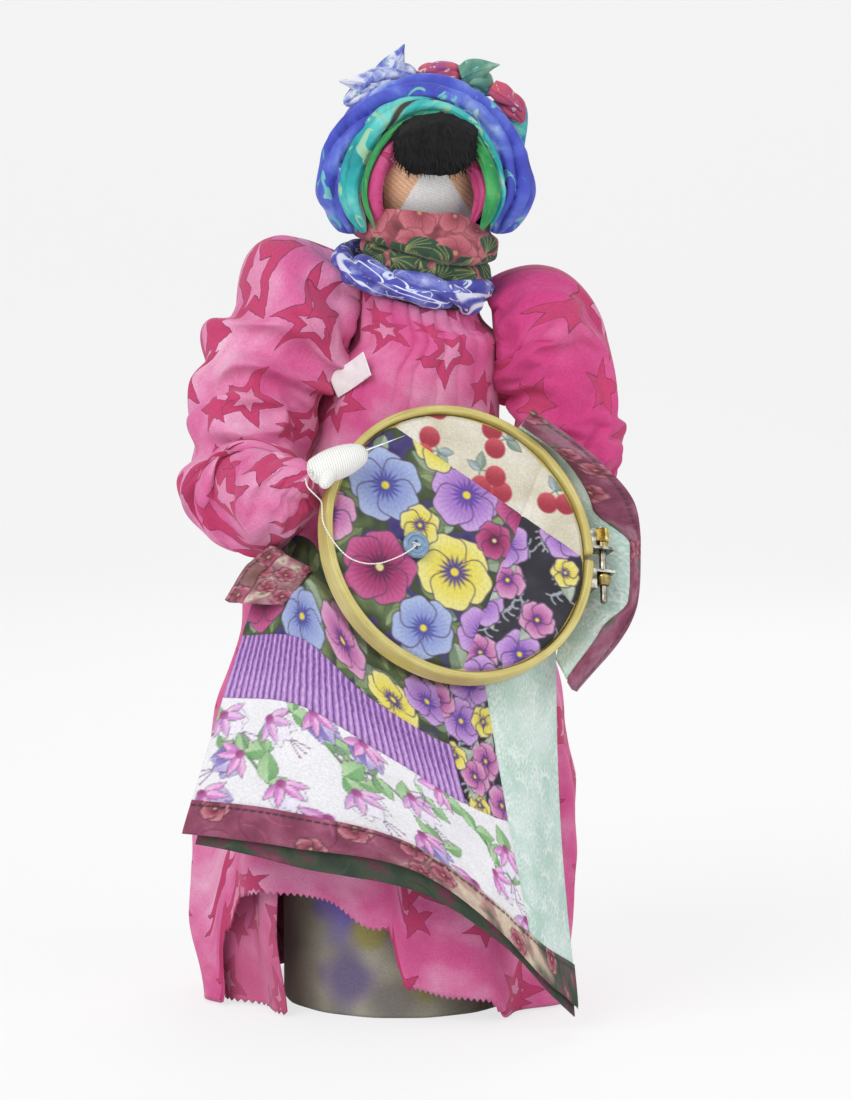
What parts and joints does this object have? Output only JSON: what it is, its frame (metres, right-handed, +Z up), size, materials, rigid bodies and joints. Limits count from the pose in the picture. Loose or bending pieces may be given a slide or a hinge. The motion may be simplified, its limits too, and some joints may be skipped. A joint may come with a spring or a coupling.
{
  "type": "cloth folk doll with embroidery hoop",
  "caption": "Standing faceless cloth doll in a full star-printed dress and rolled head scarf, stitching a pieced quilt held in a round wooden hoop.",
  "frame": {"origin": "centre of the base disc's underside, on the surface the doll stands on", "axes": "+Z up along the post, the doll faces -Y, its right arm is at -X"},
  "size_m": [0.1785, 0.173, 0.374],
  "materials": {
    "wood_base": "sawn and sanded softwood",
    "stuffing": "unbleached calico over stuffing",
    "dress_batik": "matt printed cotton, mottled pink with darker stars",
    "body_print": "matt printed cotton, blurred olive and violet",
    "scarf_blue": "matt printed cotton, blue and violet",
    "scarf_turquoise": "matt printed cotton, turquoise",
    "scarf_green": "matt printed cotton, green",
    "scarf_red": "matt printed cotton, red",
    "hood_batik": "matt printed cotton, deep pink",
    "chin_print": "matt printed cotton, rose and dark green leaves",
    "face_twill": "diagonal twill, white with peach areas",
    "black_fur": "short black pile",
    "hand_floss": "wound white floss",
    "thread_white": "twisted white thread",
    "arm_wire": "bare steel wire",
    "needle_steel": "polished steel",
    "hoop_bamboo": "varnished bamboo",
    "clamp_steel": "blackened steel",
    "clamp_brass": "brass, knurled head",
    "button_plastic": "moulded, soft gloss",
    "patch_blossom": "matt printed cotton, blossoms on green",
    "patch_berry": "matt printed cotton, berries on cream",
    "patch_dark": "matt printed cotton, blossoms on black",
    "band_ribbed": "ribbed lilac cotton",
    "band_white": "matt printed cotton, bell flowers on white",
    "panel_mint": "matt printed cotton, pale mint",
    "binding_floral": "matt printed cotton, burgundy and rose",
    "backing_dark": "matt printed cotton, dark green",
    "tag_white": "smooth woven tape, blank"
  },
  "bodies": {
    "torso": {"base_disc": "wood_base", "center_post": "wood_base", "stuffed_body": "stuffing", "printed_cover": "body_print", "dress": "dress_batik", "collar_roll": "scarf_blue", "hoop_outer": "hoop_bamboo", "hoop_inner": "hoop_bamboo", "hoop_batting": "stuffing", "hoop_patch_blossom": "patch_blossom", "hoop_patch_berry": "patch_berry", "hoop_patch_dark": "patch_dark", "clamp_lug_upper": "clamp_steel", "clamp_lug_lower": "clamp_steel", "clamp_nut": "clamp_brass", "button": "button_plastic", "button_stitch": "thread_white", "quilt_panel_print": "patch_blossom", "quilt_band_ribbed": "band_ribbed", "quilt_strip_dark": "patch_dark", "quilt_band_white": "band_white", "quilt_panel_mint": "panel_mint", "quilt_binding": "binding_floral", "quilt_backing": "backing_dark", "right_flap": "panel_mint", "right_flap_binding": "binding_floral", "left_flap": "patch_blossom", "left_flap_binding": "binding_floral", "blank_tag": "tag_white", "thread": "thread_white"},
    "head": {"head_ball": "stuffing", "face_cloth": "face_twill", "inner_hood": "hood_batik", "hair_fringe": "black_fur", "green_edge_roll": "scarf_green", "turquoise_fold": "scarf_turquoise", "turban_roll_inner": "scarf_blue", "turban_roll_outer": "scarf_blue", "turban_cap": "scarf_blue", "red_knot": "scarf_red", "blue_tail": "scarf_blue", "green_tail": "scarf_turquoise", "red_tail": "scarf_red", "chin_scarf": "chin_print"},
    "right_arm": {"right_sleeve": "dress_batik", "right_arm_wire": "arm_wire", "right_hand": "hand_floss", "needle": "needle_steel"},
    "left_arm": {"left_sleeve": "dress_batik", "left_arm_wire": "arm_wire", "left_hand": "hand_floss"},
    "clamp_screw": {"clamp_screw": "clamp_brass"}
  },
  "joints": [
    {"name": "neck_turn", "type": "hinge", "parent": "torso", "child": "head", "pos_m": [0.008, 0, 0.3], "axis": [0, 0, 1], "range_deg": [-12, 12]},
    {"name": "right_shoulder", "type": "hinge", "parent": "torso", "child": "right_arm", "pos_m": [-0.018, 0, 0.27], "axis": [-1, 0, 0], "range_deg": [0, 12]},
    {"name": "left_shoulder", "type": "hinge", "parent": "torso", "child": "left_arm", "pos_m": [0.04, 0, 0.266], "axis": [1, 0, 0], "range_deg": [0, 10]},
    {"name": "screw_turn", "type": "hinge", "parent": "torso", "child": "clamp_screw", "pos_m": [0.07851, -0.05386, 0.18097], "axis": [-0.0147, 0.4371, 0.8993], "continuous": true}
  ]
}
